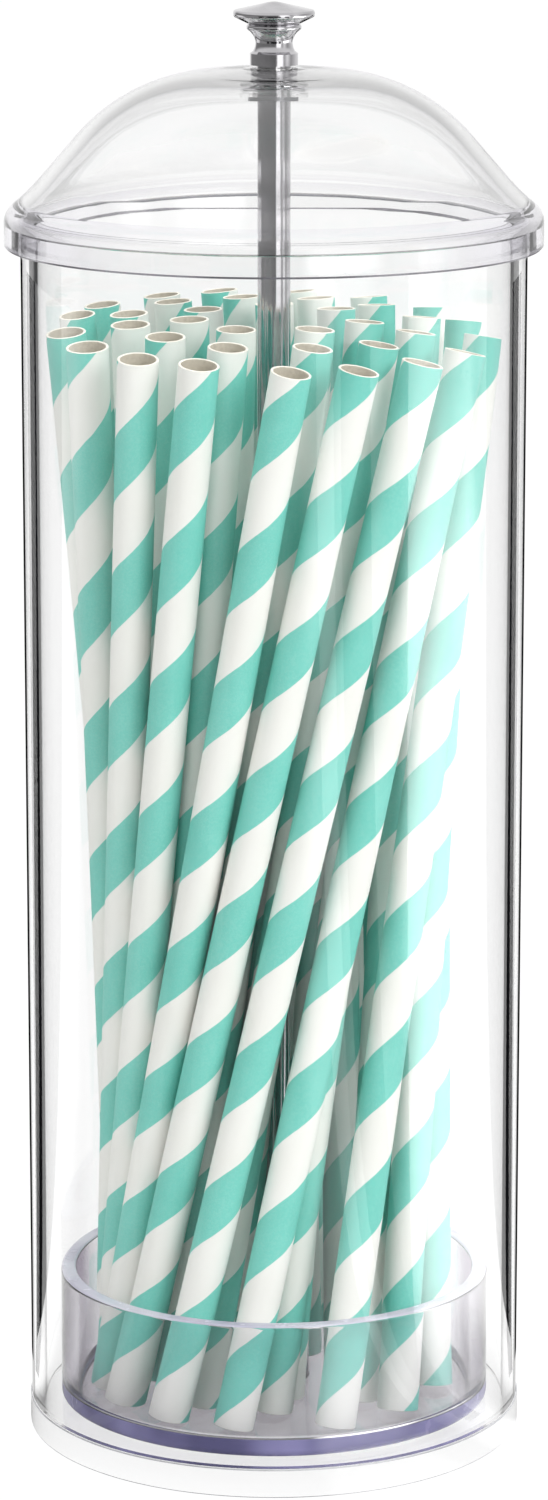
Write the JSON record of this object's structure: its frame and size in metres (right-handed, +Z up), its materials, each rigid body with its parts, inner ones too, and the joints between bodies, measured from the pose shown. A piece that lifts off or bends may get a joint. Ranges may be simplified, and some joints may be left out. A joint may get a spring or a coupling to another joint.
{
  "type": "straw dispenser",
  "caption": "Clear jar for drinking straws with a domed lid; the knob, rod and cup lift out of it as one insert and bring the straws up.",
  "frame": {"origin": "middle of the underside of the jar's base disc", "axes": "+Z up along the jar's and the rod's common axis, -Y towards the viewer"},
  "size_m": [0.0958, 0.0958, 0.2613],
  "materials": {
    "clear_acrylic": "polished clear acrylic, cast tube and cut disc",
    "tinted_clear_plastic": "moulded clear plastic with a faint lavender tint in its edges",
    "polished_steel": "bright polished steel, turned and ground",
    "spring_steel": "plain bright steel hardware",
    "clear_washer": "clear nylon washer",
    "straw_paper": "spiral-wound paper with teal and off-white stripes, matt"
  },
  "bodies": {
    "jar": {"jar_base": "clear_acrylic", "jar_tube": "clear_acrylic"},
    "lid": {"lid_dome": "tinted_clear_plastic"},
    "insert": {"knob": "polished_steel", "lift_rod": "polished_steel", "lid_washer": "clear_washer", "rod_clip": "spring_steel", "straw_cup": "tinted_clear_plastic", "cup_washer": "spring_steel", "cup_screw": "spring_steel", "straw_01": "straw_paper", "straw_02": "straw_paper", "straw_03": "straw_paper", "straw_04": "straw_paper", "straw_05": "straw_paper", "straw_06": "straw_paper", "straw_07": "straw_paper", "straw_08": "straw_paper", "straw_09": "straw_paper", "straw_10": "straw_paper", "straw_11": "straw_paper", "straw_12": "straw_paper", "straw_13": "straw_paper", "straw_14": "straw_paper", "straw_15": "straw_paper", "straw_16": "straw_paper", "straw_17": "straw_paper", "straw_18": "straw_paper", "straw_19": "straw_paper", "straw_20": "straw_paper", "straw_21": "straw_paper", "straw_22": "straw_paper", "straw_23": "straw_paper", "straw_24": "straw_paper", "straw_25": "straw_paper", "straw_26": "straw_paper", "straw_27": "straw_paper", "straw_28": "straw_paper", "straw_29": "straw_paper", "straw_30": "straw_paper", "straw_31": "straw_paper", "straw_32": "straw_paper", "straw_33": "straw_paper", "straw_34": "straw_paper", "straw_35": "straw_paper", "straw_36": "straw_paper"}
  },
  "joints": [
    {"name": "lift", "type": "slide", "parent": "jar", "child": "lid", "axis": [0, 0, 1], "range_m": [0, 0.23]},
    {"name": "turn", "type": "hinge", "parent": "lid", "child": "insert", "pos_m": [0, 0, 0.24], "axis": [0, 0, 1], "continuous": true}
  ]
}
